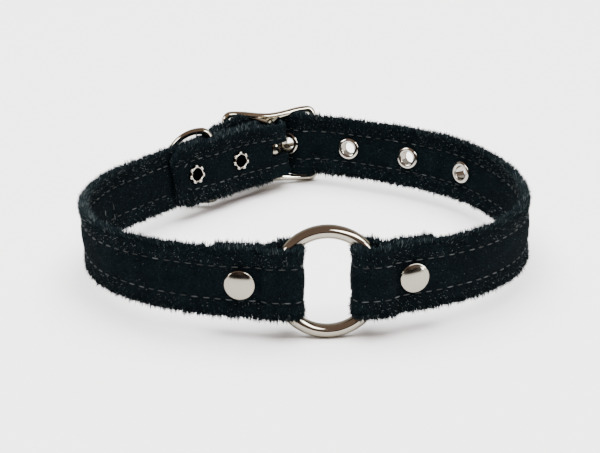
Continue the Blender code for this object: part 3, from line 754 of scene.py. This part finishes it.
def pileDirections(band, s, across, out, rim):  # out of the face, and outwards at the rim
    flat = velvet["halfWidth"] - velvet["halfThick"]
    edgeAcross = np.clip((np.abs(across) - flat) / velvet["halfThick"], 0, 1)
    normal = band.at("up", s) * (np.sign(across) * edgeAcross)[:, None]
    normal += band.at("out", s) * (np.sign(out) * np.sqrt(1 - edgeAcross**2))[:, None]
    tilt = rng.normal(0, pile["tilt"], (len(s), 3))
    direction = normal + tilt * (0.75 - 0.35 * rim)[:, None]
    direction += np.sign(across * rim)[:, None] * band.at("up", s) * (0.9 * rim)[:, None]
    return unit(direction)


def pileLengths(band, s, middle, rim, lumps, fromRow):
    long = np.where(middle, pile["middleLong"], pile["faceLong"])
    long = long + (pile["edgeLong"] - long) * rim
    long = long * (0.8 + 0.4 * rng.random(len(s))) * (1 + 0.6 * lumps * (0.4 + rim))
    long *= 1 - (1 - pile["waistLong"]) * np.clip(band.at("waist", s), 0, 1)
    long *= 1 + pile["toothDeep"] * rim * np.sin(s / pile["tooth"] * 2 * pi + 2.5 * lumps)
    return np.where(fromRow < pile["rowWide"], pile["rowLong"], 1.0) * long


# lighter beside the stitched rows, at the rubbed spots and in a few strays
def pileShades(s, across, middle, rim, lumps, fromRow, rubbedSpots):
    count = len(s)
    shades = rng.random(count) ** 3.0 * (1 + 0.9 * lumps)
    shades = shades * np.where(middle, 0.55, 1.0) * (1 - 0.35 * rim)
    besideRow = (fromRow - 0.7 * mm) / (0.35 * mm)
    shades += 0.20 * np.exp(-(besideRow**2)) * rng.random(count)
    for spot, spotAcross, radius, amount in rubbedSpots:
        near = np.exp(-(((s - spot) / radius) ** 2) - ((across - spotAcross) / (3 * mm)) ** 2)
        shades += amount * near * rng.random(count)
    stray = rng.random(count) < pile["strays"]
    return np.clip(np.where(stray, 0.55 + 0.45 * rng.random(count), shades), 0, 1)


def pileFrames(band, isLeft, holes, rubbedSpots):
    s, across, out, roots = pileRoots(band, isLeft, holes)
    count = len(s)
    rim = np.clip((np.abs(across) - pile["rimFrom"]) / pile["rimWide"], 0, 1)
    middle = np.abs(across) < velvet["stitchRow"]
    fromRow = np.abs(np.abs(across) - velvet["stitchRow"])
    lumps = np.array([noise.noise(Vector(root) / pile["lump"]) for root in roots])
    direction = pileDirections(band, s, across, out, rim)
    long = pileLengths(band, s, middle, rim, lumps, fromRow)
    sideways = unit(np.cross(direction, rng.normal(0, 1, (count, 3))))
    other = np.cross(direction, sideways)
    wide = (pile["wide"] * (0.7 + 0.6 * rng.random(count)))[:, None]
    frames = np.stack([sideways * wide, other * wide, direction * long[:, None], roots], axis=2)
    return frames, pileShades(s, across, middle, rim, lumps, fromRow, rubbedSpots)


bpy.ops.mesh.primitive_cone_add(
    vertices=3, radius1=1, radius2=0, depth=1, end_fill_type="NOTHING", location=(0, 0, 0.5),
)
tuft = settle(named("tuft"))

velvetLook = Look("velvet", Roughness=0.95, Specular_IOR_Level=0.02)
coords = velvetLook.node("TexCoord", out="Object")
grain = velvetLook.speckle(coords, 1900.0, 3.0, 0.7)
cloud = velvetLook.speckle(coords, 160.0)
velvetLook.feed("Base Color", velvetLook.ramp(
    grain * 0.75 + cloud * 0.25,
    (0.30, (0.0008, 0.0016, 0.0021)), (0.55, (0.0021, 0.0048, 0.0062)), (0.75, (0.010, 0.017, 0.021)),
))
velvetLook.feed("Normal", velvetLook.node(
    "Bump", None, {"Strength": 0.8, "Distance": 0.4 * mm, "Height": grain},
))

pileLook = Look("pile", Roughness=0.8, Specular_IOR_Level=0.03)
pileLook.feed("Base Color", pileLook.ramp(
    pileLook.node("Attribute", {"attribute_name": "shade"}, out="Fac"),
    (0.0, (0.0010, 0.0025, 0.0034)), (0.5, (0.0085, 0.0150, 0.0175)), (1.0, (0.078, 0.086, 0.086)),
))

# stitches: thread runs that lie in the grooves, and turn round a rounded tip
thread = {
    "pitch": 3.3 * mm,
    "long": 2.0 * mm,
    "radius": 0.20 * mm,
    "tipInset": 2.9 * mm,
    "seams": (12.5 * mm, 17.5 * mm),  # across the inner face, past the left turn
    "sunkShade": 2.2,  # painted shade for stitches sunk in the pile: the higher, the more stitches are dark
}


def stitchRows(band, isLeft):  # along, across, which face, how deep the groove is
    row, end = velvet["stitchRow"], band.length - thread["tipInset"]
    run = np.arange(2 * mm, end - row, 0.3 * mm)
    bend = np.linspace(0, pi, 40)[1:-1]
    along = np.concatenate([run, end - row + row * np.sin(bend), run[::-1]])
    across = np.concatenate([np.full(len(run), row), row * np.cos(bend), np.full(len(run), -row)])
    rows = [(along, across, face, velvet["grooveDeep"]) for face in (1, -1)]
    if isLeft:
        across = np.linspace(-row - mm, row - mm, 40)
        rows += [(np.full(40, leftTurn + past), across, -1, 0.0) for past in thread["seams"]]
    return rows


def stitchFrames(band, isLeft):
    frames = []
    for s, across, face, deep in stitchRows(band, isLeft):
        low = (velvet["halfThick"] - deep + 0.5 * thread["radius"]) * face
        path = band.place(s, across, np.full(len(s), low))
        normals = band.at("out", s) * face
        taken = distances(path)
        for start in np.arange(0.5 * mm, taken[-1] - thread["pitch"], thread["pitch"]):
            middle = start + thread["long"] / 2 + rng.normal(0, 0.12 * mm)
            here = np.interp(middle, taken, s)
            acrossHere = np.interp(middle, taken, across)
            if hiddenFace(band, here, low, acrossHere, isLeft):
                continue
            first = between(middle - thread["long"] / 2, taken, path)
            last = between(middle + thread["long"] / 2, taken, path)
            along = (last - first) / 2
            normal = between(middle, taken, normals)
            normal /= np.linalg.norm(normal)
            sideways = np.cross(along, normal)
            sideways /= np.linalg.norm(sideways)
            thick = thread["radius"] * rng.uniform(0.9, 1.1)
            place = (first + last) / 2 + normal * 0.05 * mm
            frames.append(np.stack([sideways * thick, normal * thick, along, place], axis=1))
    return np.array(frames)


bpy.ops.mesh.primitive_uv_sphere_add(segments=8, ring_count=6, radius=1)
stitchModel = settle(named("stitch"))
threadLook = Look("thread", Roughness=0.6, Specular_IOR_Level=0.2)
threadLook.feed("Base Color", threadLook.ramp(
    threadLook.node("Attribute", {"attribute_name": "shade"}, out="Fac"),
    (0.0, (0.003, 0.005, 0.006)), (1.0, (0.045, 0.052, 0.055)),
))

rubbed = {  # where the pile is rubbed lighter: along, across, radius, how much
    "left": (
        (foldAt + 4.0 * mm, -6.0 * mm, 3.0 * mm, 0.5), (foldAt + 4.0 * mm, 4.2 * mm, 2.6 * mm, 0.5),
        (leftTurn - 4.0 * mm, 10.0 * mm, 16.0 * mm, 0.45),
    ),
    "right": ((rightTurn + 4.0 * mm, 10.0 * mm, 14.0 * mm, 0.25),),
}
for end, strap, band, holes in (
    ("left", strapLeft, leftBand, chapePlaces), ("right", strapRight, rightBand, tonguePlaces),
):
    isLeft = end == "left"
    strap.data.materials.append(velvetLook.material)
    frames, shades = pileFrames(band, isLeft, holes + rivetPlaces, rubbed[end])
    fur = planted("pile_" + end, tuft, frames, shades, pileLook.material)
    sewn = stitchFrames(band, isLeft)
    # painted shade: most stitches are darkened at random, as if sunk in the pile's shade
    sunkShades = rng.random(len(sewn)) ** thread["sunkShade"]
    stitches = planted("stitches_" + end, stitchModel, sewn, sunkShades, threadLook.material)
    for piece in (strap, fur, stitches):
        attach(piece, "root")
    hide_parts("strap_" + end)
    print(strap.name, len(frames), "tufts", len(sewn), "stitches")
remove(tuft, stitchModel)


# metal looks
def chrome(name, colour, rough):  # darker than real chrome, because the studio is bright
    look = Look(name, Metallic=1.0, Specular_Tint=(0.42, 0.39, 0.35, 1))
    coords = look.node("TexCoord", out="Object")
    tint = look.speckle(coords, 90.0)
    scuff = look.speckle(coords, 700.0, 4.0, 0.7)
    darker = tuple(part * 0.93 for part in colour)
    look.feed("Base Color", look.ramp(tint, (0.3, darker), (0.7, colour)))
    look.feed("Roughness", (scuff * 0.10 + rough).clamped())
    return look.material


ringChrome = chrome("ringChrome", (0.27, 0.25, 0.205), 0.02)
capChrome = chrome("capChrome", (0.25, 0.235, 0.195), 0.07)
buckleChrome = chrome("buckleChrome", (0.38, 0.355, 0.29), 0.03)
eyeletNickel = chrome("eyeletNickel", (0.33, 0.31, 0.275), 0.06)


def metalPiece(obj, node, look):
    obj.data.materials.clear()
    obj.data.materials.append(look)
    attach(obj, "root")
    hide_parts(node)
    return obj


def smoothed(obj, angle=35):
    only(obj)
    bpy.ops.object.shade_smooth_by_angle(angle=radians(angle))
    return obj


# round wire along a run of points
def tube(name, points, radius, cyclic=False, widths=None):
    bpy.ops.curve.primitive_nurbs_path_add()
    obj = named(name)
    curve = obj.data
    curve.splines.clear()
    spline = curve.splines.new("NURBS")
    spline.points.add(len(points) - 1)
    for index, place in enumerate(points):
        spline.points[index].co = (*place, 1)
        spline.points[index].radius = widths[index] if widths else 1
    spline.order_u = 4
    spline.resolution_u = 5
    spline.use_cyclic_u = cyclic
    spline.use_endpoint_u = not cyclic
    curve.dimensions = "3D"
    curve.bevel_depth = radius
    curve.bevel_resolution = 10
    curve.use_fill_caps = True
    only(obj)
    bpy.ops.object.convert(target="MESH")
    bpy.ops.object.mode_set(mode="EDIT")
    bpy.ops.mesh.select_all(action="SELECT")
    bpy.ops.mesh.remove_doubles(threshold=1e-6)
    bpy.ops.mesh.normals_make_consistent(inside=False)
    bpy.ops.object.mode_set(mode="OBJECT")
    return smoothed(obj, 60)


# O-ring
ringAway = Vector((*outward(leftLine.tangent(0.0), left), 0))
ringTip = radians(-loop["ringLean"])
ringUp = ringAway * sin(ringTip) + Vector((0, 0, cos(ringTip)))
ringAlong = Vector((*leftLine.tangent(0.0), 0))
ringMatrix = Matrix((ringAlong, ringUp, ringAlong.cross(ringUp))).transposed().to_4x4()
ringMatrix.translation = (*(ringPlan + planShift), ringHeight)
bpy.ops.mesh.primitive_torus_add(
    major_segments=160, minor_segments=36, major_radius=ringRadius, minor_radius=loop["ringWire"] / 2,
)
ring = settle(named("ring"), ringMatrix)
bpy.ops.object.shade_smooth()
metalPiece(ring, "o_ring", ringChrome)

# rivets: two caps on a shank, each cap with a rounded rim and a low dome
cap = {
    "radius": front["cap"] / 2,
    "height": 1.1 * mm,
    "stand": 0.55 * mm,
    "shank": 1.4 * mm,
    "rim": 0.38 * mm,
    "dome": 0.55 * mm,
    "domeSteps": 7,
}


def selectFace(obj, side):  # the flat face that looks along y, on one side
    for polygon in obj.data.polygons:
        polygon.select = polygon.normal.y * side > 0.99
    bpy.ops.object.mode_set(mode="EDIT")
    bpy.ops.mesh.select_mode(type="FACE")


def rivetCap(side):
    inside = layer / 2 + loop["thickness"] / 2 + cap["stand"]
    thick = cap["height"] - cap["dome"]
    bpy.ops.mesh.primitive_cylinder_add(
        vertices=72, radius=cap["radius"], depth=thick, rotation=(pi / 2, 0, 0),
        location=(0, side * (inside + thick / 2), 0),
    )
    obj = settle(named("cap"))
    rim = obj.modifiers.new("rim", "BEVEL")
    rim.width = cap["rim"]
    rim.segments = 4
    rim.angle_limit = radians(50)
    rim.limit_method = "ANGLE"
    applyAll(obj)
    selectFace(obj, side)
    flat = cap["radius"] - cap["rim"]
    for step in range(cap["domeSteps"]):
        raised = [cap["dome"] * (1 - (1 - (step + n) / cap["domeSteps"]) ** 2) for n in (0, 1)]
        bpy.ops.mesh.inset(thickness=0.97 * flat / cap["domeSteps"])
        bpy.ops.transform.translate(value=(0, side * (raised[1] - raised[0]), 0))
    bpy.ops.object.mode_set(mode="OBJECT")
    return obj


for name, place in zip(("rivet_left", "rivet_right"), rivetPlaces):
    reach = layer + loop["thickness"] + 2 * cap["stand"] + cap["height"]
    bpy.ops.mesh.primitive_cylinder_add(
        vertices=32, radius=cap["shank"], depth=reach, rotation=(pi / 2, 0, 0),
    )
    rivet = joined(name + "_polished", [settle(named("shank")), rivetCap(1), rivetCap(-1)])
    metalPiece(smoothed(settle(rivet, place)), name, capChrome)

# eyelets: a rolled flange on one face, a barrel, and the end split into petals on the other
petal = {
    "count": 7,
    "from": 2.66 * mm,
    "out": 0.62 * mm,
    "wide": 0.80 * mm,
    "high": 0.55 * mm,
    "sunk": 0.1 * mm,
    "lip": 0.24 * mm,
    "turned": 0.35,  # of the step between two petals
}


def eyeletModel(name, grip, petalSide):
    hole = eyeletSize["hole"] / 2
    rim = eyeletSize["flange"] / 2
    inside = grip / 2 + eyeletSize["stand"]
    level = inside + eyeletSize["height"] / 2
    parts = []
    bpy.ops.mesh.primitive_cylinder_add(
        vertices=48, radius=hole + eyeletSize["wall"], depth=2 * level, end_fill_type="NOTHING",
        rotation=(pi / 2, 0, 0),
    )
    barrel = settle(named("barrel"))
    wall = barrel.modifiers.new("wall", "SOLIDIFY")
    wall.thickness = eyeletSize["wall"]
    parts.append(applyAll(barrel))
    bpy.ops.mesh.primitive_torus_add(
        major_segments=48, minor_segments=16, major_radius=(hole + rim) / 2, minor_radius=(rim - hole) / 2,
        rotation=(pi / 2, 0, 0), location=(0, -petalSide * level, 0),
    )
    flange = named("flange")
    flange.scale = (1, 1, eyeletSize["height"] / (rim - hole) * 1.2)
    parts.append(settle(flange))
    bpy.ops.mesh.primitive_torus_add(
        major_segments=48, minor_segments=12, major_radius=hole + petal["lip"] / 2,
        minor_radius=petal["lip"], rotation=(pi / 2, 0, 0), location=(0, petalSide * level, 0),
    )
    parts.append(settle(named("lip")))
    for number in range(petal["count"]):
        bpy.ops.mesh.primitive_uv_sphere_add(segments=16, ring_count=10, radius=1)
        leaf = named("petal")
        leaf.scale = (petal["out"], petal["high"], petal["wide"])
        settle(leaf)
        leaf.location = (petal["from"], petalSide * (level - petal["sunk"]), 0)
        settle(leaf)
        leaf.rotation_euler = (0, (number + petal["turned"]) * 2 * pi / petal["count"], 0)
        parts.append(settle(leaf))
    return joined(name, parts)


for start, places, grip, petalSide in (
    ("chape_eyelet_", chapePlaces, layer + loop["thickness"], -1),
    ("tongue_eyelet_", tonguePlaces, loop["thickness"], 1),
):
    for number, place in enumerate(places, 1):
        name = f"{start}{number}"
        eyelet = smoothed(eyeletModel(name + "_rolled", grip, petalSide), 50)
        metalPiece(settle(eyelet, place), name, eyeletNickel)

# buckle: an hourglass frame and a centre bar, which meets it at web plates with raised lips
frameMatrix = frameSeat()
waistLow = loop["strapWidth"] / 2 + 0.25 * mm  # the velvet is drawn in here
waistUp = waistLow + buckleSize["wire"] / 2
meanOut = (endBarOut[1] + endBarOut[-1]) / 2 - buckleSize["arch"]
tab = {  # one web plate
    "width": 7.6 * mm,
    "thick": 1.0 * mm,
    "lip": 0.72 * mm,
    "foot": 0.75 * mm,
    "aside": -1.2 * mm,
    "reach": 2.1 * mm,
    "dip": 0.7 * mm,
}


def buckleOutline():  # four quarters, each a corner and a side drawn in to the waist
    corner = buckleSize["corner"]
    points = []
    for end, top in ((1, 1), (-1, 1), (-1, -1), (1, -1)):
        quarter = []
        for step in range(7):
            angle = step * pi / 12
            along = end * (halfBuckle - corner + corner * cos(angle))
            quarter.append((along, endBarOut[end], top * (sideBarUp - corner + corner * sin(angle))))
        for step in range(1, 9):
            share = 1 - step / 8
            draw = 0.5 + 0.5 * cos(pi * share)
            quarter.append((
                end * (halfBuckle - corner) * share,
                endBarOut[end] * (1 - draw) + meanOut * draw,
                top * (sideBarUp + (waistUp - sideBarUp) * draw),
            ))
        if (end, top) in ((-1, 1), (1, -1)):  # these start where the last one met the waist
            quarter = quarter[-2::-1]
        points += quarter
    return points


def webPlate(top):
    half, foot = tab["width"] / 2, tab["foot"]
    bpy.ops.mesh.primitive_plane_add(size=1, location=(0, 0, top * (waistLow + tab["thick"] / 2)))
    plate = settle(named("web"))
    for vertex in plate.data.vertices:  # a wedge that narrows and dips towards the neck
        isOuter = vertex.co.y > 0
        vertex.co.x = tab["aside"] + (half if isOuter else foot) * (1 if vertex.co.x > 0 else -1)
        vertex.co.y = meanOut if isOuter else -tab["reach"]
        vertex.co.z -= 0 if isOuter else top * tab["dip"]
    wall = plate.modifiers.new("wall", "SOLIDIFY")
    wall.thickness = tab["thick"]
    wall.offset = 0
    pieces = [applyAll(plate)]
    for side in (-1, 1):
        run = []
        for share in (0.0, 0.35, 0.7, 1.0):
            level = waistLow + tab["thick"] * 0.7 - tab["dip"] * (1 - share)
            reach = -tab["reach"] - 0.2 * mm + (meanOut + tab["reach"]) * share
            run.append((tab["aside"] + side * (foot + (half - foot) * share), reach, top * level))
        pieces.append(tube("lip", run, tab["lip"], widths=(0.8, 1, 1, 1.1)))
    return pieces


outline = tube("frame_cast", buckleOutline(), buckleSize["wire"] / 2, cyclic=True)
bpy.ops.mesh.primitive_cylinder_add(
    vertices=40, radius=buckleSize["bar"] / 2, depth=2 * waistUp - 1.0 * mm,
)
centreBar = settle(named("bar"))
buckle = joined("buckle_cast", [outline, centreBar] + webPlate(1) + webPlate(-1))
metalPiece(settle(smoothed(buckle, 45), frameMatrix), "buckle_frame", buckleChrome)

# prong: a knuckle round the bar and a shank that lies over the end bar
prong = {
    "thick": 1.6 * mm,
    "tip": 0.82,  # share of the thickness
    "wall": 0.85 * mm,
    "edge": 0.2 * mm,
    "steps": 10,
}
knuckleRoom = buckleSize["bar"] / 2 + loop["gap"]


def prongKnuckle():
    bpy.ops.mesh.primitive_cylinder_add(
        vertices=48, radius=knuckleRoom + prong["wall"], end_fill_type="NOTHING",
        depth=chape["slotHeight"] - 3 * loop["gap"],
    )
    knuckle = settle(named("knuckle"))
    wall = knuckle.modifiers.new("wall", "SOLIDIFY")
    wall.thickness = prong["wall"]
    edge = knuckle.modifiers.new("edge", "BEVEL")
    edge.width = prong["edge"]
    edge.segments = 3
    return smoothed(applyAll(knuckle))


def prongShank():  # it climbs through the tongue's hole, then runs level to the end bar
    over = endBarOut[1] + buckleSize["wire"] / 2 + loop["gap"] + prong["thick"] / 2
    reach = halfBuckle + buckleSize["wire"] / 2
    holeAlong = tongueClimb[2][0] * halfBuckle
    slope = (buckleSize["tongueLow"] + tongueClimb[2][1] * climbHeight) / holeAlong
    bend = min(holeAlong + eyeletSize["flange"] / 2, over / slope)
    run, widths = [], []
    for step in range(prong["steps"] + 1):
        share = step / prong["steps"]
        along = knuckleRoom + prong["wall"] * 0.5 + (reach - knuckleRoom) * share
        out = slope * along
        if along > bend:
            out = slope * bend + (over - slope * bend) * (along - bend) / (halfBuckle - bend)
        run.append((along, out, 0.0))
        widths.append(1 - (1 - prong["tip"]) * share)
    return tube("shank", run, prong["thick"] / 2, widths=widths)


pin = settle(smoothed(joined("prong_cast", [prongKnuckle(), prongShank()]), 45), frameMatrix)
metalPiece(pin, "buckle_prong", buckleChrome)

# D-ring: a straight bar between the layers and a bow
def dRingRun():
    bow = (dRing["inside"] + dRing["wire"]) / 2
    centre = dRing["depth"] - dRing["wire"] - bow
    foot = sqrt(bow**2 - centre**2)
    run = [(0.0, 0.0, (foot - dRing["corner"]) * step / 4) for step in range(-4, 5)]
    start = pi - np.arctan2(foot, centre) - dRing["corner"] / bow
    for step in range(31):
        angle = start - 2 * start * step / 30
        run.append((-(centre + bow * cos(angle)), 0.0, bow * sin(angle)))
    return run


dSpread = dRing["wire"] + loop["gap"]
dMatrix = seat(leftLine, left, barAt - dRing["at"], 0.0)
dMatrix = dMatrix @ Matrix.Translation((0, chape["outerShare"] * dSpread - (layer + dSpread) / 2, 0))
dMatrix = dMatrix @ Matrix.Rotation(radians(-dRing["swing"]), 4, "Z")
bentRing = tube("d_ring_bent", dRingRun(), dRing["wire"] / 2, cyclic=True)
metalPiece(settle(bentRing, dMatrix), "d_ring", ringChrome)
print("metal made")

# floor, light and camera
bpy.ops.mesh.primitive_plane_add(size=6, location=(0, 0, 0))
floor = named("floor")
pale = Look("paleFloor", Base_Color=(0.92, 0.92, 0.92, 1), Roughness=0.9, Specular_IOR_Level=0.1)
floor.data.materials.append(pale.material)

# the room that the chrome mirrors: a white sweep behind, a warm dim room in front and overhead
room = {
    "white": (1.0, 1.0, 1.0, 1),
    "dim": (0.41, 0.29, 0.235, 1),
    "dark": (0.02, 0.015, 0.013, 1),
    "sweepSlope": 0.78,
    "sweepSharp": 4.0,
    "tableTop": 0.20,  # below this height the room in front is dark
    "tableSharp": 14.0,
    "strength": 1.1,
}
world = bpy.data.worlds.new("studio")
bpy.context.scene.world = world
world.use_nodes = True
sky = Nodes(world.node_tree)
direction = {"Vector": sky.node("TexCoord", out="Generated")}
toBack = sky.node("SeparateXYZ", None, direction, out="Y")
height = sky.node("SeparateXYZ", None, direction, out="Z")
sweep = ((toBack - height * room["sweepSlope"]) * room["sweepSharp"] + 0.5).clamped()
table = ((height - room["tableTop"]) * room["tableSharp"] + 0.5).clamped()
around = sky.mixed(sweep, sky.mixed(table, room["dark"], room["dim"]), room["white"])
background = sky.tree.nodes["Background"]
sky.tree.links.new(around.out, background.inputs["Color"])
background.inputs["Strength"].default_value = room["strength"]

lights = (  # name, place, width, depth, power, whether it is a box that only the chrome mirrors
    ("overhead", (0.0, 0.1, 1.3), 1.6, 1.6, 108.0, False),
    ("rightBox", (0.55, -0.50, 0.81), 0.95, 0.30, 24.0, True),
    ("sideBox", (0.84, -0.47, 0.33), 0.26, 0.56, 16.0, True),
    ("leftBox", (-0.85, -0.42, 0.48), 0.30, 0.30, 9.0, True),
)
for name, place, wide, deep, power, mirrored in lights:
    bpy.ops.object.light_add(type="AREA", location=place)
    lamp = bpy.context.active_object
    lamp.name = name
    lamp.data.shape = "RECTANGLE"
    lamp.data.size = wide
    lamp.data.size_y = deep
    lamp.data.energy = power
    lamp.visible_glossy = mirrored
    lamp.visible_diffuse = not mirrored
    aim = Vector((0, 0, 20 * mm)) - Vector(place)
    lamp.rotation_euler = aim.to_track_quat("-Z", "Y").to_euler()

view = {
    "target": Vector((-2.10, -16.99, 15.10)) * mm,
    "away": 379 * mm,
    "pitch": 25.46,
    "lens": 75.3,
}
pitch = radians(view["pitch"])
bpy.ops.object.camera_add(location=view["target"] + Vector((0, -cos(pitch), sin(pitch))) * view["away"])
camera = bpy.context.active_object
camera.rotation_euler = (pi / 2 - pitch, 0, 0)
camera.data.lens = view["lens"]
camera.data.sensor_width = 36
camera.data.clip_start = 0.01
bpy.context.scene.camera = camera
